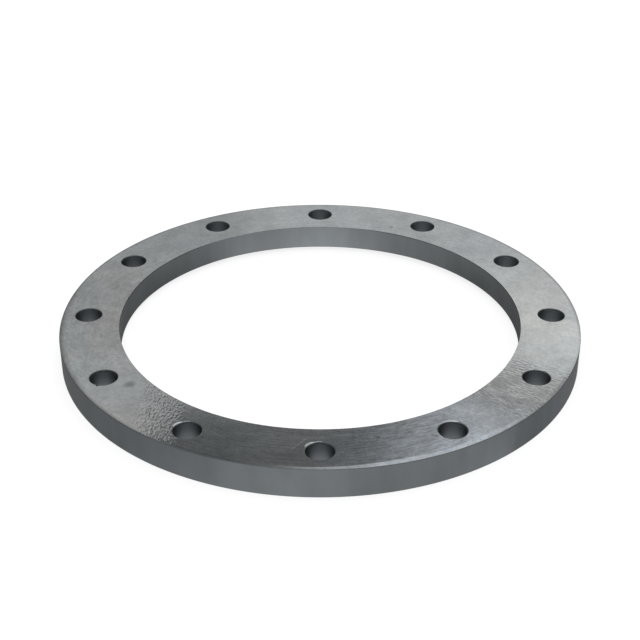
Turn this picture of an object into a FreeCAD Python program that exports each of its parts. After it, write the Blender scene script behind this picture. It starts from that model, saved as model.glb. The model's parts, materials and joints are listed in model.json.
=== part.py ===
import FreeCAD, Part
import os
from FreeCAD import Vector

# Loose backing flange of a lap joint, for DN 300 pipe at PN 10: one flat steel ring with
# a circle of bolt holes and a plain bore that slips over the pipe's stub end.
# Millimetres. The origin is the centre of the underside, and +Z is the axis of the bore.

# The ring, given by its bore and by its width on each side of the bolt holes' centres
BORE_DIAMETER = 344.0
BORE_TO_BOLTS = 28.0     # bore wall to the bolt circle
BOLTS_TO_RIM = 22.5      # bolt circle to the outer wall
THICKNESS = 25.5
RIM_BREAK = 0.5          # deburring chamfer on the two outer edges and the bore's top edge

# Relief round the bore on the underside, where the ring seats on the stub end's fillet
RELIEF_DEPTH = 3.7       # up the bore wall
RELIEF_WIDTH = 7.4       # out along the underside

# The bolt holes, with one on each of the X and Y axes
BOLT_COUNT = 12
BOLT_HOLE_DIAMETER = 22.0
HOLE_BREAK = 0.4         # countersunk break at both ends of a bolt hole

BOLT_CIRCLE_DIAMETER = BORE_DIAMETER + 2 * BORE_TO_BOLTS          # 400 mm
OUTER_DIAMETER = BOLT_CIRCLE_DIAMETER + 2 * BOLTS_TO_RIM          # 445 mm

Z_AXIS = Vector(0, 0, 1)
OVERCUT = 1.0            # how far the hole cutter runs past the face it starts from


def turned_section(corners):
    """Face in the XZ plane with these (radius, height) corners, ready to be revolved."""
    points = [Vector(radius, 0, height) for radius, height in corners]
    return Part.Face(Part.makePolygon(points + points[:1]))


def turned(corners):
    """Solid of revolution about the Z axis with this half section."""
    return turned_section(corners).revolve(Vector(0, 0, 0), Z_AXIS, 360)


def turned_ring():
    """The ring as it leaves the lathe, from the bore wall out to the rim."""
    bore = BORE_DIAMETER / 2
    rim = OUTER_DIAMETER / 2
    return turned([
        (bore, RELIEF_DEPTH),
        (bore, THICKNESS - RIM_BREAK),
        (bore + RIM_BREAK, THICKNESS),
        (rim - RIM_BREAK, THICKNESS),
        (rim, THICKNESS - RIM_BREAK),
        (rim, RIM_BREAK),
        (rim - RIM_BREAK, 0),
        (bore + RELIEF_WIDTH, 0),
    ])


def bolt_hole_cutter():
    """Cutter for one bolt hole, about the Z axis: the drill, flared by the edge breaks."""
    drill = BOLT_HOLE_DIAMETER / 2
    flare = drill + HOLE_BREAK + OVERCUT
    return turned([
        (0, -OVERCUT),
        (flare, -OVERCUT),
        (drill, HOLE_BREAK),
        (drill, THICKNESS - HOLE_BREAK),
        (flare, THICKNESS + OVERCUT),
        (0, THICKNESS + OVERCUT),
    ])


def bolt_hole_cutters():
    """One cutter for each bolt hole, stepped evenly round the bolt circle."""
    first = bolt_hole_cutter()
    first.translate(Vector(BOLT_CIRCLE_DIAMETER / 2, 0, 0))
    cutters = []
    for index in range(BOLT_COUNT):
        cutter = first.copy()
        cutter.rotate(Vector(0, 0, 0), Z_AXIS, index * 360 / BOLT_COUNT)
        cutters.append(cutter)
    return cutters


def flange_ring():
    """The finished flange: the turned ring, drilled for its bolts."""
    return turned_ring().cut(bolt_hole_cutters()).Solids[0]


os.makedirs("parts", exist_ok=True)
flange = flange_ring()
flange.exportStep("parts/flange_ring.step")
print("flange_ring: valid", flange.isValid(), "volume cm3", round(flange.Volume / 1000, 1))
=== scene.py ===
import json
import math

import bmesh
import bpy
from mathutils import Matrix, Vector, noise


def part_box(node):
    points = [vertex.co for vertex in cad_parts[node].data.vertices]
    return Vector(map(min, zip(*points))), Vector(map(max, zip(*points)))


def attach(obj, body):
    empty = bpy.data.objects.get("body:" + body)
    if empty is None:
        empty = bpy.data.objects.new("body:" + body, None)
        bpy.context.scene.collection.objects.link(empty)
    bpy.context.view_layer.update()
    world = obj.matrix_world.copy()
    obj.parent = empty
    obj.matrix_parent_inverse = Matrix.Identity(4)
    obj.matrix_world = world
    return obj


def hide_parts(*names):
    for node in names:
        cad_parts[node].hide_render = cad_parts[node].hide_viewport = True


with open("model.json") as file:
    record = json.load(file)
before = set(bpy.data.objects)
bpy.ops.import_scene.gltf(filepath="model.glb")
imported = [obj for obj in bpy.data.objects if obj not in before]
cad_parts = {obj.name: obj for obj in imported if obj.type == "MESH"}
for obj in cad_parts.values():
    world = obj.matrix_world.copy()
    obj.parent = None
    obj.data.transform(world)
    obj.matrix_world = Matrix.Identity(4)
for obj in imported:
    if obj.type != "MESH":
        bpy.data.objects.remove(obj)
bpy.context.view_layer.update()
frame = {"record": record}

MM = 0.001

# Camera
# The photo is taken from in front and above, looking 30 degrees down at the ring's axis.
# Its place and lens come from fitting the ring's edges and the rims of all its holes.
CAMERA_BACK = 996.4 * MM
CAMERA_HEIGHT = 600.8 * MM
CAMERA_DIP = 30.22                  # degrees below level
CAMERA_LENS = 74.82                 # millimetres, on a 36 mm sensor

camera_data = bpy.data.cameras.new("camera")
camera_data.lens = CAMERA_LENS
camera_data.sensor_width = 36
camera = bpy.data.objects.new("camera", camera_data)
camera.location = (0, -CAMERA_BACK, CAMERA_HEIGHT)
camera.rotation_euler = (math.radians(90 - CAMERA_DIP), 0, 0)
bpy.context.scene.collection.objects.link(camera)
bpy.context.scene.camera = camera
bpy.context.scene.view_settings.view_transform = "Standard"


# Flange ring
# The whole object: one ring cut from rolled steel plate, turned on its wall and its bore and
# drilled with a circle of bolt holes, with every edge broken by hand. Nothing is fixed to it,
# and it lies loose on its lap face. Headings round it are in degrees, with the back at 90.
mounts = {mount["name"]: mount["dims"] for mount in frame["record"]["mounts"]}
BORE_RADIUS = mounts["bore"]["r_mm"] * MM
BOLT_CIRCLE_RADIUS = mounts["bolt_circle"]["pcd_mm"] * MM / 2
BOLT_HOLE_RADIUS = mounts["bolt_circle"]["hole_r_mm"] * MM
BOLT_COUNT = mounts["bolt_circle"]["count"]
BOLTS_TO_RIM = 22.5 * MM
RIM_RADIUS = BOLT_CIRCLE_RADIUS + BOLTS_TO_RIM
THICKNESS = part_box("flange_ring")[1][2]
RELIEF_DEPTH = 4.3 * MM             # round the bore, on the lap face
RELIEF_WIDTH = 7.4 * MM
BREAK_BELOW = 0.4 * MM              # round each bolt hole, on the lap face
DRAWN_DOWN = 2.9 * MM               # width of the outer margin that the grinder ran over
GRINDER_LEAN = 5.5                  # how steeply that margin falls, in degrees

# How the skin of the ring is divided
BELT_INNER = BORE_RADIUS + RELIEF_WIDTH + 2 * MM    # the belt holds the bolt holes
BELT_OUTER = RIM_RADIUS - 5 * MM
STEPS_PER_BOLT = 60                 # round the ring, over one bolt hole's share of it
STEPS_ACROSS = 24                   # across the belt
LAYERS_ON_TOP = 14                  # from the outline of that share in to its bolt hole
LAYERS_BELOW = 3
LAST_ON_TOP = 0.997                 # share of the way in of one more layer, close to the hole
LAST_BELOW = 0.985
HOLD = 0.25 * MM                    # from a broken edge to the next loop of the flat beside it

# The finishes, in the order of the mesh's material slots
FACE, WALL, BORE, HOLE, EDGE, LIP, RIM_EDGE, BORE_EDGE = range(8)

# Where the hand work on the edges differs from the rest. A stretch is its middle, how far it
# reaches each way and the edge over which it fades, in degrees round the ring or the hole.
GRINDER_LEANED = [                  # stretch of the rim, degrees steeper
    ((317, 6, 5), -4.6), ((332, 3, 4), -2.5), ((267, 3, 4), 1.0),
]
FILED_LIPS = [                      # stretch of the ring, stretch of the hole, millimetres wider
    ((255, 17, 8), (135, 8, 20), 1.6), ((255, 17, 8), (100, 12, 14), 0.35),
    ((300, 3, 3), (85, 12, 25), 0.8), ((325, 35, 15), (88, 25, 40), 0.5),
]
NICKED = ((210, 5, 1), (255, 3, 6))     # the hole with a nick in its edge, and the nick's stretch


def ring_point(radius, turn, height):
    """Point at this distance from the axis, angle round it and height."""
    return Vector((radius * math.cos(turn), radius * math.sin(turn), height))


def window(turn, middle, reach, edge):
    """1 within reach degrees of the middle of a stretch, fading to 0 over edge degrees more."""
    away = abs((math.degrees(turn) - middle + 180) % 360 - 180)
    share = min(max((reach + edge - away) / edge, 0), 1)
    return share * share * (3 - 2 * share)


def plate_height(x, y):
    """Height of the upper face, which is rolled plate with a faint long wave in it."""
    long_wave = noise.noise(Vector((x, y, 0)) / (38 * MM))
    short_wave = noise.noise(Vector((x, y, 0.5)) / (13 * MM))
    return THICKNESS - 0.03 * MM * (1 + long_wave) - 0.012 * MM * (1 + short_wave)


def edge_break(turn):
    """Width of the broken edge, which is uneven because it was done by hand."""
    return (0.3 + 0.08 * noise.noise(ring_point(3, turn, 7) * 2)) * MM


def broken_corner(start, corner, end, steps=4):
    """Points of a corner eased by hand: a curve from start to end, drawn in by the corner."""
    points = []
    for step in range(steps + 1):
        share = step / steps
        points.append(tuple(
            (1 - share) ** 2 * a + 2 * share * (1 - share) * b + share ** 2 * c
            for a, b, c in zip(start, corner, end)
        ))
    return points


def rim_section(turn):
    """Section from the belt's outer side over the rim and down to the lap face.

    The grinder ran over the edge, so the outermost few millimetres fall away a little. It
    leaned less round the back, where the edge is sharper too.
    """
    back = window(turn, 92, 62, 22)
    width = edge_break(turn) * (1 - 0.7 * back)
    uneven = noise.noise(ring_point(1, turn, 3) * 4)
    start = RIM_RADIUS - DRAWN_DOWN - (0.3 * uneven + 1.4 * window(turn, 296, 11, 12)) * MM
    lean = GRINDER_LEAN + uneven
    lean += sum(steeper * window(turn, *stretch) for stretch, steeper in GRINDER_LEANED)
    slope = math.tan(math.radians(lean)) * (1 - 0.9 * back)
    ease = 0.25 * MM                # half the width over which the slope sets in
    flat = plate_height(*ring_point(BELT_OUTER, turn, 0).xy)

    def top(radius):
        """Height of the upper face at this radius."""
        past = radius - start
        if past <= -ease:
            return flat
        if past < ease:
            return flat - (past + ease) ** 2 / (4 * ease) * slope
        return flat - past * slope

    last = RIM_RADIUS - width - HOLD
    radii = [BELT_OUTER, start - ease, start - ease / 3, start + ease / 3, start + ease,
             (start + ease + last) / 2, last]
    edge_top = top(RIM_RADIUS - width)
    return (
        [(FACE, (radius, top(radius))) for radius in radii]
        + [(RIM_EDGE, point) for point in broken_corner(
            (RIM_RADIUS - width, edge_top), (RIM_RADIUS, edge_top), (RIM_RADIUS, edge_top - width))]
        + [(WALL, (RIM_RADIUS, edge_top - width - HOLD)), (WALL, (RIM_RADIUS, THICKNESS / 2)),
           (WALL, (RIM_RADIUS, width + HOLD))]
        + [(EDGE, point) for point in broken_corner(
            (RIM_RADIUS, width), (RIM_RADIUS, 0), (RIM_RADIUS - width, 0))]
        + [(FACE, (RIM_RADIUS - width - HOLD, 0)), (FACE, (BELT_OUTER, 0))]
    )


def bore_section(turn):
    """Section from the belt's inner side over the bore and under its relief.

    The bore's upper edge is sharper at the front.
    """
    width = edge_break(turn + math.pi) * (1 - 0.7 * window(turn, 270, 65, 20))
    top = plate_height(*ring_point(BELT_INNER, turn, 0).xy)
    flat = [(BELT_INNER - share * (BELT_INNER - BORE_RADIUS - width - HOLD), top)
            for share in (0, 0.33, 0.67, 1)]
    foot = (BORE_RADIUS, RELIEF_DEPTH)
    relief = (BORE_RADIUS + RELIEF_WIDTH, 0)
    return (
        [(FACE, point) for point in flat]
        + [(BORE_EDGE, point) for point in broken_corner(
            (BORE_RADIUS + width, top), (BORE_RADIUS, top), (BORE_RADIUS, top - width))]
        + [(BORE, (BORE_RADIUS, top - width - HOLD)), (BORE, (BORE_RADIUS, THICKNESS / 2)),
           (BORE, (BORE_RADIUS, RELIEF_DEPTH + HOLD))]
        + [(BORE, foot), (BORE, (foot[0] + HOLD, foot[1] - HOLD / 2)),
           (BORE, (relief[0] - HOLD, relief[1] + HOLD / 2)), (BORE, relief)]
        + [(FACE, (relief[0] + HOLD, 0)), (FACE, (BELT_INNER, 0))]
    )


def skin(mesh, loops):
    """Quads between one closed loop of points and the next. Each loop comes with its finish."""
    rings = [(finish, [mesh.verts.new(point) for point in loop]) for finish, loop in loops]
    for (finish, ring), (_, following) in zip(rings, rings[1:]):
        for index in range(len(ring)):
            after = (index + 1) % len(ring)
            face = mesh.faces.new((ring[index], ring[after], following[after], following[index]))
            face.material_index = finish


def turned_loops(section):
    """The loops of a section carried round the axis."""
    count = BOLT_COUNT * STEPS_PER_BOLT
    turns = [2 * math.pi * index / count for index in range(count)]
    sections = [section(turn) for turn in turns]
    loops = []
    for row in range(len(sections[0])):
        finish = sections[0][row][0]
        loops.append((finish, [ring_point(part[row][1][0], turn, part[row][1][1])
                               for part, turn in zip(sections, turns)]))
    return loops


def sector_outline(turn):
    """Plan of one bolt hole's share of the belt, as a closed loop of points."""
    half = math.pi / BOLT_COUNT
    along = [index / STEPS_PER_BOLT for index in range(STEPS_PER_BOLT)]
    across = [index / STEPS_ACROSS for index in range(STEPS_ACROSS)]
    breadth = BELT_OUTER - BELT_INNER
    return (
        [ring_point(BELT_OUTER, turn - half + 2 * half * share, 0) for share in along]
        + [ring_point(BELT_OUTER - breadth * share, turn + half, 0) for share in across]
        + [ring_point(BELT_INNER, turn + half - 2 * half * share, 0) for share in along]
        + [ring_point(BELT_INNER + breadth * share, turn - half, 0) for share in across]
    )


def hole_edge(turn, bearing):
    """Section of a bolt hole's upper edge, as steps outward from its wall and down from the face.

    A lip where the burr was filed off comes first, then the rounded edge. The file bit deeper
    on the far side of the holes at the front and right, and one hole has a nick in its edge.
    """
    uneven = noise.noise(ring_point(1, bearing, turn) * 1.7)
    nicked_hole, nicked_side = NICKED
    nick = window(turn, *nicked_hole) * window(bearing, *nicked_side)
    lip = 0.05 + 0.02 * uneven + 1.4 * nick
    lip += sum(wider * window(turn, *holes) * window(bearing, *side)
               for holes, side, wider in FILED_LIPS)
    fall = 0.25 * lip + 1.8 * nick
    rounding = 0.85 + 0.08 * uneven
    return (
        [(LIP, ((rounding + lip) * MM, 0)), (LIP, ((rounding + 0.5 * lip) * MM, 0.4 * fall * MM))]
        + [(EDGE, (outward * MM, (fall + down) * MM))
           for outward, down in broken_corner((rounding, 0), (0, 0), (0, rounding), 6)]
    )


def bolt_sector(mesh, turn):
    """One bolt hole, with its share of the upper face and of the lap face."""
    centre = ring_point(BOLT_CIRCLE_RADIUS, turn, 0)
    rays = []
    for point in sector_outline(turn):
        bearing = math.atan2(point.y - centre.y, point.x - centre.x)
        rays.append((point, ring_point(1, bearing, 0), hole_edge(turn, bearing)))

    def on_face(reach, upper):
        """Loop a share of the way from the outline in to the edge of the hole."""
        loop = []
        for point, way, edge in rays:
            width = edge[0][1][0] if upper else BREAK_BELOW
            place = point.lerp(centre + way * (BOLT_HOLE_RADIUS + width), reach)
            place.z = plate_height(place.x, place.y) if upper else 0
            loop.append(place)
        return FACE, loop

    def above(step):
        """Loop at one step of the section of the hole's upper edge."""
        loop = []
        for point, way, edge in rays:
            outward, drop = edge[step][1]
            rim = centre + way * (BOLT_HOLE_RADIUS + edge[0][1][0])
            place = centre + way * (BOLT_HOLE_RADIUS + outward)
            place.z = plate_height(rim.x, rim.y) - drop
            loop.append(place)
        return loop

    lower_edge = broken_corner((0, BREAK_BELOW), (0, 0), (BREAK_BELOW, 0))

    def below(step):
        """Loop at one step round the broken edge on the lap face."""
        outward, height = lower_edge[step]
        rise = Vector((0, 0, height))
        return [centre + way * (BOLT_HOLE_RADIUS + outward) + rise for point, way, edge in rays]

    finishes = [finish for finish, step in rays[0][2]]
    foot = len(finishes) - 1
    layers_on_top = [layer / LAYERS_ON_TOP for layer in range(LAYERS_ON_TOP)] + [LAST_ON_TOP]
    layers_below = [layer / LAYERS_BELOW for layer in range(LAYERS_BELOW)] + [LAST_BELOW]
    wall_top, wall_foot = above(foot), below(0)
    loops = [on_face(reach, True) for reach in layers_on_top]
    loops += [(finishes[step], above(step)) for step in range(foot)]
    loops += [(HOLE, wall_top)]
    loops += [(HOLE, [high.lerp(low, share) for high, low in zip(wall_top, wall_foot)])
              for share in (0.03, 0.97)]
    loops += [(EDGE, below(step)) for step in range(len(lower_edge) - 1)]
    loops += [(FACE, below(len(lower_edge) - 1))]
    loops += [on_face(reach, False) for reach in reversed(layers_below)]
    skin(mesh, loops)


ring_mesh = bmesh.new()
skin(ring_mesh, turned_loops(rim_section))
skin(ring_mesh, turned_loops(bore_section))
for number in range(BOLT_COUNT):
    bolt_sector(ring_mesh, 2 * math.pi * number / BOLT_COUNT)
bmesh.ops.remove_doubles(ring_mesh, verts=ring_mesh.verts, dist=0.002 * MM)
bmesh.ops.recalc_face_normals(ring_mesh, faces=ring_mesh.faces)

# The steep side of the nick and a lip that is only a hair wide take the broken edge's dark tone:
# painted shade, which keeps a thin bright line off the holes' edges
STEEPEST_LIP = 0.85                 # the upward part of its normal
SMALLEST_LIP = 0.05 * MM ** 2       # the area of one of its quads
for ring_face in ring_mesh.faces:
    ring_face.smooth = True
    painted_dark_lip = ring_face.normal.z < STEEPEST_LIP or ring_face.calc_area() < SMALLEST_LIP
    if ring_face.material_index == LIP and painted_dark_lip:
        ring_face.material_index = EDGE
ring_data = bpy.data.meshes.new("loose_flange")
ring_mesh.to_mesh(ring_data)
ring_mesh.free()


def add_node(tree, kind, inputs=None, **properties):
    """A shader node. inputs gives each socket a value or another node's output."""
    node = tree.nodes.new("ShaderNode" + kind)
    for name, value in properties.items():
        setattr(node, name, value)
    for socket, value in (inputs or {}).items():
        if isinstance(value, bpy.types.NodeSocket):
            tree.links.new(value, node.inputs[socket])
        else:
            node.inputs[socket].default_value = value
    return node


def calc(tree, operation, *values):
    """Result of one sum, such as MAXIMUM or ADD."""
    return add_node(tree, "Math", dict(enumerate(values)), operation=operation).outputs[0]


def product(tree, *values):
    """All the values multiplied together."""
    result = values[0]
    for value in values[1:]:
        result = calc(tree, "MULTIPLY", result, value)
    return result


def fade(tree, value, low, high, bottom=0.0, top=1.0):
    """Bottom below low and top above high, with a smooth change between."""
    return add_node(tree, "MapRange", {
        "Value": value, "From Min": low, "From Max": high, "To Min": bottom, "To Max": top,
    }, interpolation_type="SMOOTHSTEP").outputs[0]


def mixed(tree, mask, without, within):
    """Without where the mask is 0 and within where it is 1, in proportion between."""
    return add_node(tree, "MapRange", {
        "Value": mask, "To Min": without, "To Max": within}).outputs[0]


def share_in(tree, mask, share):
    """1 where the mask is 0 and the share where it is 1, with a smooth change between."""
    return fade(tree, mask, 0, 1, 1, share)


def grain(tree, vector, detail=2.0, roughness=0.5, distortion=0.0):
    """Noise from 0 to 1, one unit of the vector to a grain."""
    return add_node(tree, "TexNoise", {
        "Vector": vector, "Scale": 1.0, "Detail": detail, "Roughness": roughness,
        "Distortion": distortion,
    }).outputs["Fac"]


def multiplied(tree, vector, other):
    """The vector or colour with each part multiplied by the same part of the other."""
    return add_node(tree, "VectorMath", {0: vector, 1: other}, operation="MULTIPLY").outputs[0]


def dot(tree, vector, other):
    """How far one vector reaches along the other."""
    return add_node(tree, "VectorMath", {0: vector, 1: other},
                    operation="DOT_PRODUCT").outputs["Value"]


def near_way(tree, way, aim, reach, edge):
    """1 within reach degrees of a direction, fading to 0 over edge degrees more."""
    return fade(tree, dot(tree, way, aim),
                math.cos(math.radians(reach + edge)), math.cos(math.radians(reach)))


def near_heading(tree, way, middle, reach, edge):
    """The same for a stretch round the ring."""
    return near_way(tree, way, ring_point(1, math.radians(middle), 0), reach, edge)


class RingPlace:
    """Where a point of the ring is: its place, and its radius and heading seen from the axis.

    The radius and heading are seen from a point this far behind the axis instead, if given.
    """

    def __init__(self, tree, behind=0.0):
        self.tree = tree
        self.place = add_node(tree, "TexCoord").outputs["Object"]
        parts = add_node(tree, "SeparateXYZ", {0: self.place}).outputs
        self.x, self.y, self.height = parts
        plan = add_node(tree, "VectorMath", {
            0: multiplied(tree, self.place, (1, 1, 0)), 1: (0, behind, 0),
        }, operation="SUBTRACT").outputs[0]
        self.radius = add_node(tree, "VectorMath", {0: plan}, operation="LENGTH").outputs["Value"]
        self.heading = add_node(tree, "VectorMath", {0: plan}, operation="NORMALIZE").outputs[0]

    def even(self, per_metre):
        """Vector for marks that are as long as they are wide: how many grains to a metre."""
        return multiplied(self.tree, self.place, (per_metre, per_metre, per_metre))

    def lathe(self, along, across, up=0.0):
        """Vector for marks that run round the ring: grain length and width in millimetres."""
        turns = BOLT_CIRCLE_RADIUS / MM / along
        round_part = multiplied(self.tree, self.heading, (turns, turns, 0))
        depth = product(self.tree, self.radius, 1 / MM / across)
        rise = product(self.tree, self.height, up / MM)
        deep = add_node(self.tree, "CombineXYZ", {
            2: calc(self.tree, "ADD", depth, rise)}).outputs[0]
        return add_node(self.tree, "VectorMath", {0: round_part, 1: deep}, operation="ADD").outputs[0]

    def sector(self, middle, reach, edge):
        """1 over a stretch of the ring, fading to 0 at its edges."""
        return near_heading(self.tree, self.heading, middle, reach, edge)


def steel_material(name, roughness):
    """A bare steel finish: its node tree and its shader."""
    material = bpy.data.materials.new(name)
    material.use_nodes = True
    tree = material.node_tree
    tree.nodes.clear()
    shader = add_node(tree, "BsdfPrincipled", {"Metallic": 1.0, "Roughness": roughness})
    add_node(tree, "OutputMaterial", {"Surface": shader.outputs[0]})
    return material, tree, shader


def tint(tree, factor, low, high):
    """Colour between two tones, by a factor from 0 to 1."""
    return add_node(tree, "Mix", {0: factor, 6: (*low, 1), 7: (*high, 1)},
                    data_type="RGBA").outputs[2]


def dim(tree, colour, factor):
    """The colour multiplied by a grey factor."""
    return add_node(tree, "VectorMath", {0: colour, "Scale": factor}, operation="SCALE").outputs[0]


def marked(tree, colour, mask, change):
    """The colour made brighter by this share of it where the mask is 1, or darker below zero."""
    return dim(tree, colour, calc(tree, "ADD", 1.0, product(tree, mask, change)))


# Marks on the upper face: each one's place on it in millimetres
STAINS = [                          # x, y, radius, how dark
    (43.3, -182.3, 1.6, 0.45), (41.0, -181.8, 1.1, 0.3), (87.4, -181.0, 2.2, 0.4),
    (84.5, -180.0, 1.5, 0.35), (-151, -110, 5.0, 0.4), (69.3, 171.7, 2.4, 0.3),
    (69.6, 198.6, 1.8, 0.15), (-107.9, 152.1, 2.6, 0.15), (-183.5, -35.5, 3.0, 0.14),
    (-152.7, 102.3, 2.4, 0.14), (-183.7, 48.2, 3.0, 0.15), (-96, -166, 2.2, 0.3),
]
SCRATCHES = [                       # x, y of each end, half width, how bright
    (-23.5, -201.3, -5.2, -177.1, 0.6, 0.5), (-23.9, -183.6, -10.4, -183.6, 0.5, 0.35),
    (61.2, -182.3, 78.7, -177.1, 0.5, 0.25), (-84.9, -174.5, -81.7, -155.9, 0.7, 0.22),
]
BROWNED = [                         # stretch of the ring, how far the steel has browned there
    ((8, 20, 20), 0.6), ((216, 13, 12), 0.75), ((322, 5, 9), 0.7),
]
RIPPLE_LENGTH = 3.6 * MM            # from one chatter mark to the next


def plate_colour(tree, spot):
    """Colour of the rolled plate: cloudy steel, blued at the front right and browned in places."""
    cloud = grain(tree, spot.even(45), detail=5, roughness=0.6)
    colour = tint(tree, fade(tree, cloud, 0.3, 0.7), (0.384, 0.409, 0.417), (0.461, 0.488, 0.497))
    warmth = grain(tree, spot.even(17), detail=2)
    cast = tint(tree, fade(tree, warmth, 0.35, 0.65), (0.985, 1.0, 1.02), (1.012, 1.0, 0.985))
    blued = tint(tree, spot.sector(294, 18, 11), (1.0, 1.0, 1.0), (0.98, 1.0, 1.05))
    brown = product(tree, spot.sector(188, 18, 22), fade(tree, spot.radius, 0.188, 0.212, 1, 0.2))
    for stretch, share in BROWNED:
        brown = calc(tree, "MAXIMUM", brown, product(tree, spot.sector(*stretch), share))
    browned = tint(tree, brown, (1.0, 1.0, 1.0), (1.03, 0.99, 0.96))
    for hue in (cast, blued, browned):
        colour = multiplied(tree, colour, hue)
    return colour


def mottled(tree, spot, colour):
    """The colour with the patches, specks and pits that rolling and handling left in the plate."""
    worn = spot.sector(178, 22, 18)
    patches = grain(tree, spot.lathe(7, 3.2), detail=3, roughness=0.6, distortion=0.6)
    colour = dim(tree, colour, fade(tree, patches, 0.3, 0.7, fade(tree, worn, 0, 1, 0.95, 0.88),
                                    fade(tree, worn, 0, 1, 1.03, 1.09)))
    speckled = spot.sector(300, 18, 10)
    specks = grain(tree, spot.even(330), detail=3, roughness=0.6)
    colour = dim(tree, colour, fade(tree, specks, 0.25, 0.75, fade(tree, speckled, 0, 1, 0.91, 0.8),
                                    fade(tree, speckled, 0, 1, 1.08, 1.06)))
    pits = grain(tree, spot.even(420), detail=1)
    return dim(tree, colour, fade(tree, pits, 0.66, 0.76, 1, 0.8))


def brushed(tree, spot, colour, brushing, ground):
    """The colour with the lines of the light grinding, strongest at the front, off the margin."""
    within = fade(tree, spot.radius, 0.2175, 0.2195, 1, 0.2)
    lines = product(tree, within, fade(tree, brushing, 0.3, 0.7))
    colour = marked(tree, colour, lines, fade(tree, ground, 0, 1, -0.06, -0.26))
    blotches = grain(tree, spot.lathe(15, 1.7), detail=4, roughness=0.7)
    blotched = product(tree, within, fade(tree, blotches, 0.45, 0.62))
    return marked(tree, colour, blotched, fade(tree, spot.sector(288, 7, 9), 0, 1, 0, -0.3))


def margin_painted_light(tree, spot, colour):
    """The colour with the outer margin, which the grinder ran over, painted darker as shade but for
    two stretches, and painted lighter at the right front as a highlight.
    """
    # Painted shade on the outermost margin, weaker over two stretches, and a painted highlight on the
    # margin at the right front
    bright = spot.sector(292, 10, 6)
    less_shaded = calc(tree, "MAXIMUM", spot.sector(243, 7, 5), bright)
    outermost = product(tree, share_in(tree, less_shaded, 0.2), fade(tree, spot.radius, 0.2195, 0.2228))
    colour = marked(tree, colour, outermost,
                    fade(tree, spot.sector(290, 56, 12), 0, 1, -0.45, -0.22))
    colour = marked(tree, colour, spot.sector(190, 18, 9),
                    fade(tree, spot.radius, 0.217, 0.2205, 0, -0.28))
    return marked(tree, colour, bright, fade(tree, spot.radius, 0.2165, 0.2188, 0, 0.14))


def stained(tree, spot, colour):
    """The colour with its stains and scratches."""
    for x, y, reach, dark in STAINS:
        away = add_node(tree, "VectorMath", {0: spot.place, 1: (x * MM, y * MM, THICKNESS)},
                        operation="DISTANCE").outputs["Value"]
        colour = dim(tree, colour, fade(tree, away, 0.4 * reach * MM, 1.3 * reach * MM, 1 - dark, 1))
    for x, y, end_x, end_y, half_width, bright in SCRATCHES:
        start, end = Vector((x, y, 0)) * MM, Vector((end_x, end_y, 0)) * MM
        half = (end - start).length / 2
        along = (end - start).normalized()
        offset = add_node(tree, "VectorMath", {0: spot.place, 1: (start + end) / 2},
                          operation="SUBTRACT").outputs[0]
        run = calc(tree, "ABSOLUTE", dot(tree, offset, along))
        aside = calc(tree, "ABSOLUTE", dot(tree, offset, (-along.y, along.x, 0)))
        line = product(tree, fade(tree, run, 0.6 * half, half, 1, 0),
                       fade(tree, aside, 0, half_width * MM, 1, 0))
        colour = dim(tree, colour, share_in(tree, line, 1 + bright))
    return colour


def chatter(tree, spot):
    """Ripples that a chattering grinder left, from -1 to 1, and where on the ring they are."""
    place = calc(tree, "MAXIMUM", spot.sector(325, 6, 8), product(
        tree, spot.sector(342, 5, 10), fade(tree, spot.radius, 0.178, 0.194, 0.3, 0.03)))
    angle = calc(tree, "ARCTAN2", spot.y, spot.x)
    waver = grain(tree, spot.even(120), detail=2.5)
    phase = calc(tree, "ADD", product(tree, waver, 19),
                 product(tree, angle, 2 * math.pi * BOLT_CIRCLE_RADIUS / RIPPLE_LENGTH))
    patches = fade(tree, grain(tree, spot.even(70), detail=2), 0.36, 0.58, 0.25, 1)
    return product(tree, calc(tree, "SINE", phase), patches), place


def rolled_face():
    """The upper and lap faces: rolled plate, lightly ground, pebbled in parts and chattered."""
    material, tree, shader = steel_material("rolled_face", 0.1)
    spot = RingPlace(tree)
    ground = spot.sector(272, 26, 15)
    brushing = grain(tree, spot.lathe(24, 1.1), detail=3, roughness=0.65)
    pebbled = product(tree, spot.sector(230, 25, 10), fade(tree, spot.x, -0.149, -0.13),
                      fade(tree, spot.x, -0.114, -0.098, 1, 0))
    pebbles = grain(tree, multiplied(tree, spot.place, (520, 290, 400)), detail=1.5)
    ripples, chattered = chatter(tree, spot)

    colour = mottled(tree, spot, plate_colour(tree, spot))
    colour = brushed(tree, spot, colour, brushing, ground)
    colour = stained(tree, spot, margin_painted_light(tree, spot, colour))
    # The shading of the ripples and pebbles is painted into the colour: painted shade in their hollows
    # and a painted highlight on the pebbles' tops
    colour = marked(tree, colour, chattered, fade(tree, ripples, -0.9, 0.3, -0.2, 0))
    colour = marked(tree, colour, pebbled, fade(tree, pebbles, 0.3, 0.55, -0.13, 0.09))
    tree.links.new(colour, shader.inputs["Base Color"])

    pebbles = product(tree, pebbles, fade(tree, spot.radius, 0.178, 0.212, 1.35, 0.75))
    relief = 0.0
    for marks, mask, elsewhere, depth in (      # depths in millimetres
            (brushing, ground, 0.0024, 0.012), (pebbles, pebbled, 0.0088, 0.11),
            (ripples, chattered, 0.0, 0.008)):
        relief = calc(tree, "ADD", relief, product(
            tree, marks, fade(tree, mask, 0, 1, elsewhere, depth)))
    bump = add_node(tree, "Bump", {"Strength": 1.0, "Distance": MM, "Height": relief})
    tree.links.new(bump.outputs[0], shader.inputs["Normal"])
    return material


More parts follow.
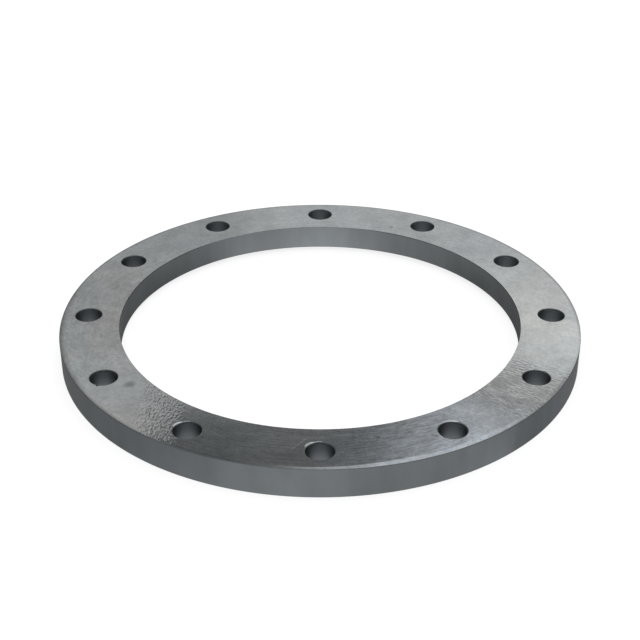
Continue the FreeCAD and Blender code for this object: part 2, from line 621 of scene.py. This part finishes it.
def turned_wall(name, low, high, roughness, grazing, spread, foot=None, painted_light=None, upper=None):
    """A wall, edge or lip that a tool has cut, with tool lines too fine to see singly.

    Grazing is how bright its gloss stays at a grazing angle, and spread is how far the tool lines
    draw the gloss out. Foot is the tone of the wall's foot as a share of the rest, painted shade
    there. Then comes a stretch of the ring where light or shade is painted into the tone, and by
    what share, and upper is the same, painted on the upper part of the wall only.
    """
    material, tree, shader = steel_material(name, roughness)
    spot = RingPlace(tree)
    band = grain(tree, spot.lathe(20, 60, 0.02), detail=3, roughness=0.55)
    colour = tint(tree, fade(tree, band, 0.25, 0.75), low, high)
    # Painted shade at the wall's foot, and painted light or shade over a stretch of the ring and on
    # the upper part of the wall
    if foot:
        colour = dim(tree, colour, fade(tree, spot.height, 0.005, 0.022, foot, 1))
    if painted_light:
        stretch, share = painted_light
        colour = dim(tree, colour, share_in(tree, spot.sector(*stretch), share))
    if upper:
        stretch, share = upper
        painted_upper_light = product(tree, spot.sector(*stretch), fade(tree, spot.height, 0.008, 0.025))
        colour = dim(tree, colour, share_in(tree, painted_upper_light, share))
    tree.links.new(colour, shader.inputs["Base Color"])
    shader.inputs["Anisotropic"].default_value = spread
    shader.inputs["Anisotropic Rotation"].default_value = 0.25
    shader.inputs["Specular Tint"].default_value = (1.1 * grazing, grazing, 0.97 * grazing, 1)
    round_the_ring = add_node(tree, "Tangent", direction_type="RADIAL", axis="Z")
    tree.links.new(round_the_ring.outputs[0], shader.inputs["Tangent"])
    return material


# Dark tones for the broken edges, and a less dark one for the rim's: painted shade, which keeps
# highlights off their rounding
DARK_EDGE = (0.09, 0.097, 0.101), (0.104, 0.112, 0.117)
for finish in (
    rolled_face(),
    # A painted highlight on the rim's wall over a narrow stretch at the right front
    turned_wall("turned_rim", (0.243, 0.265, 0.28), (0.279, 0.304, 0.321), 0.55, 0.62, 0.75,
                painted_light=((306, 2, 6), 1.16)),
    turned_wall("turned_bore", (0.279, 0.302, 0.314), (0.312, 0.337, 0.35), 0.42, 0.4, 0.88),
    # Painted shade at the holes' foot, and a painted highlight on the upper part of their walls round
    # the back right
    turned_wall("drilled_hole", (0.235, 0.255, 0.266), (0.264, 0.286, 0.299), 0.4, 0.1, 0.0,
                foot=0.97, upper=((60, 45, 30), 1.42)),
    turned_wall("broken_edge", *DARK_EDGE, 0.4, 0.5, 0.0),
    # Painted shade on the filed lips at the front, which dims their glint there
    turned_wall("filed_lip", (0.42, 0.435, 0.45), (0.5, 0.52, 0.54), 0.2, 1.0, 0.0,
                painted_light=((270, 4, 3), 0.75)),
    turned_wall("broken_rim", (0.135, 0.145, 0.151), (0.156, 0.168, 0.176), 0.4, 0.5, 0.0),
    # A painted highlight on the bore's broken edge at the back
    turned_wall("broken_bore", *DARK_EDGE, 0.4, 0.5, 0.0, painted_light=((102, 14, 22), 2.8)),
):
    ring_data.materials.append(finish)

ring = bpy.data.objects.new("loose_flange", ring_data)
bpy.context.scene.collection.objects.link(ring)
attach(ring, "root")
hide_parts("flange_ring")


# Floor
# A plain white sweep that the ring lies on. It shows white and keeps most faintly the shadow of
# the ring. To mirrored rays it glows as a dim floor with painted pools of light round the ring,
# which paint the light and shade that the ring's walls mirror.
FLOOR_HALF = 6.0
FLOOR_DROP = 0.1 * MM               # below the lap face, which keeps the two apart
FLOOR_GLOW = 0.8                    # what it shows by itself, out of 1 for white
FLOOR_SHADE = 0.3                   # what the light on it and the shadow of the ring add
OUTSIDE_DIM = 0.225                 # how bright the rim's wall mirrors it, away from the pools
INSIDE_DIM = 0.04                   # and the bore's wall
UNDER_RING = 0.65                   # how bright it is mirrored from right under the ring
# Painted pools of light, which only mirrored rays see: they set the light in the walls' reflections
OUTSIDE_PAINTED_POOLS = [                   # stretch of the ring, how much brighter
    ((264, 2, 18), 0.29), ((258, 4, 32), 0.2), ((298, 9, 11), 0.27), ((90, 20, 40), 0.2),
]
INSIDE_PAINTED_POOLS = [
    ((80, 9, 25), 0.22), ((87, 10, 80), 0.42), ((110, 24, 25), 0.27), ((-12, 6, 9), 0.1),
    ((195, 6, 9), 0.07),
]

floor_data = bpy.data.meshes.new("floor")
floor_data.from_pydata(
    [(-FLOOR_HALF, -FLOOR_HALF, 0), (FLOOR_HALF, -FLOOR_HALF, 0),
     (FLOOR_HALF, FLOOR_HALF, 0), (-FLOOR_HALF, FLOOR_HALF, 0)], [], [(0, 1, 2, 3)])
floor = bpy.data.objects.new("floor", floor_data)
floor.location.z = -FLOOR_DROP
bpy.context.scene.collection.objects.link(floor)
floor_material = bpy.data.materials.new("floor")
floor_material.use_nodes = True
floor_tree = floor_material.node_tree
floor_tree.nodes.clear()


def brightened(tree, way, base, stretches):
    """A brightness that rises over stretches round the ring, by so much in each."""
    for stretch, rise in stretches:
        base = calc(tree, "ADD", base, product(tree, near_heading(tree, way, *stretch), rise))
    return base


spot = RingPlace(floor_tree)
bore_spot = RingPlace(floor_tree, BORE_RADIUS / 2)      # the bore's wall gathers what it mirrors
outside = brightened(floor_tree, spot.heading, OUTSIDE_DIM, OUTSIDE_PAINTED_POOLS)
inside = brightened(floor_tree, bore_spot.heading, INSIDE_DIM, INSIDE_PAINTED_POOLS)
past_bore = fade(floor_tree, spot.radius, BORE_RADIUS, BORE_RADIUS + 2 * MM)
past_rim = fade(floor_tree, spot.radius, RIM_RADIUS - 2 * MM, RIM_RADIUS)
mirrored = mixed(floor_tree, past_rim, mixed(floor_tree, past_bore, inside, UNDER_RING), outside)
ray = add_node(floor_tree, "LightPath").outputs
grey = fade(floor_tree, ray["Is Glossy Ray"], 0, 1, 0.86, 0.1)
grey = fade(floor_tree, ray["Is Camera Ray"], 0, 1, grey, FLOOR_SHADE)
matt = add_node(floor_tree, "BsdfDiffuse", {
    "Color": add_node(floor_tree, "CombineColor", {0: grey, 1: grey, 2: grey}).outputs[0]})
own_light = calc(floor_tree, "ADD", product(floor_tree, ray["Is Camera Ray"], FLOOR_GLOW),
                 product(floor_tree, ray["Is Glossy Ray"], mirrored))
white = add_node(floor_tree, "Emission", {"Color": (1, 1, 1, 1), "Strength": own_light})
floor_look = add_node(floor_tree, "AddShader", {0: matt.outputs[0], 1: white.outputs[0]})
add_node(floor_tree, "OutputMaterial", {"Surface": floor_look.outputs[0]})
floor_data.materials.append(floor_material)


# Light
# A soft studio: a large softbox above the ring and a small one to its right, in a pale room
# whose back, which the upper face mirrors, has panels of light with a dark gap between them.
def softbox(name, centre, size, brightness):
    """A square lamp that faces the ring. A brightness of 1 looks white."""
    lamp_data = bpy.data.lights.new(name, "AREA")
    lamp_data.size = size
    lamp_data.energy = brightness * math.pi * size * size
    lamp = bpy.data.objects.new(name, lamp_data)
    lamp.location = centre
    lamp.rotation_euler = (-Vector(centre)).to_track_quat("-Z", "Y").to_euler()
    lamp.visible_camera = False
    bpy.context.scene.collection.objects.link(lamp)


softbox("top_softbox", (0.08, -0.08, 1.6), 1.4, 1.0)
softbox("right_softbox", (1.5, 0.1, 1.15), 0.5, 0.8)

world = bpy.data.worlds.new("studio")
world.use_nodes = True
bpy.context.scene.world = world
sky = world.node_tree
sky.nodes.clear()
way = add_node(sky, "TexCoord").outputs["Generated"]

# Where on the ring's plane the upper face mirrors a part of the room to the photo's viewpoint,
# in outer radii: x to the right and y to the back
EYE_RISE = (CAMERA_HEIGHT - THICKNESS) / RIM_RADIUS
EYE_AWAY = CAMERA_BACK / RIM_RADIUS
way_x, way_y, way_z = add_node(sky, "SeparateXYZ", {0: way}).outputs
steepness = calc(sky, "MAXIMUM", way_z, 0.03)
plan_x = calc(sky, "DIVIDE", product(sky, way_x, EYE_RISE), steepness)
plan_y = calc(sky, "SUBTRACT", calc(sky, "DIVIDE", product(sky, way_y, EYE_RISE), steepness), EYE_AWAY)
plan = add_node(sky, "CombineXYZ", {0: plan_x, 1: plan_y}).outputs[0]
plan_way = add_node(sky, "VectorMath", {0: plan}, operation="NORMALIZE").outputs[0]
plan_out = add_node(sky, "VectorMath", {0: plan}, operation="LENGTH").outputs["Value"]


def toward(heading, rise, reach, edge):
    """1 within reach degrees of a direction in the room, fading to 0 over edge degrees more."""
    level = math.cos(math.radians(rise))
    aim = ring_point(level, math.radians(heading), math.sin(math.radians(rise)))
    return near_way(sky, way, aim, reach, edge)


def mirrored_at(middle, reach, edge):
    """1 for the part of the room that is mirrored over a stretch of the ring."""
    return near_heading(sky, plan_way, middle, reach, edge)


left_wall = fade(sky, plan_y, -0.55, 0.1, 0.67, 0.56)
back_panel = product(sky, fade(sky, plan_x, -0.42, -0.2, 0, 0.21), toward(85, 38, 35, 20))
right_panel = brightened(sky, plan_way, 0.0, [((340, 2, 65), 0.31), ((345, 3, 11), 0.17)])
right_panel = product(sky, right_panel, toward(72, 38, 28, 20))
room = calc(sky, "ADD", calc(sky, "ADD", left_wall, back_panel), right_panel)
room = brightened(sky, plan_way, room, [((150, 6, 16), 0.05), ((219, 8, 13), 0.08)])

leaning = calc(sky, "SUBTRACT", plan_x, product(sky, calc(sky, "ADD", plan_y, 0.8), 0.2))
gap_right = (fade(sky, plan_y, -1.9, -1.2, -0.2, -0.03), fade(sky, plan_y, -1.9, -1.2, 0.65, 0.6))
gap = product(sky, fade(sky, leaning, -0.74, -0.4), fade(sky, leaning, *gap_right, 1, 0),
              fade(sky, plan_y, -0.68, -0.44, 1, 0), fade(sky, plan_y, -3.4, -2.6))
near_bore = product(sky, fade(sky, plan_out, 0.82, 0.9, 1, 0), mirrored_at(312, 16, 8))
shades = product(sky, share_in(sky, gap, 0.235), share_in(sky, mirrored_at(320, 6, 8), 0.46),
                 share_in(sky, mirrored_at(330, 2, 8), 0.84), share_in(sky, near_bore, 0.8))
glow = product(sky, room, mixed(sky, toward(90, 36, 28, 16), 1.0, shades))
seen = add_node(sky, "LightPath").outputs["Is Camera Ray"]
background = add_node(sky, "Background", {
    "Color": (1, 1, 1, 1), "Strength": mixed(sky, seen, glow, 1.0)})
add_node(sky, "OutputWorld", {"Surface": background.outputs[0]})
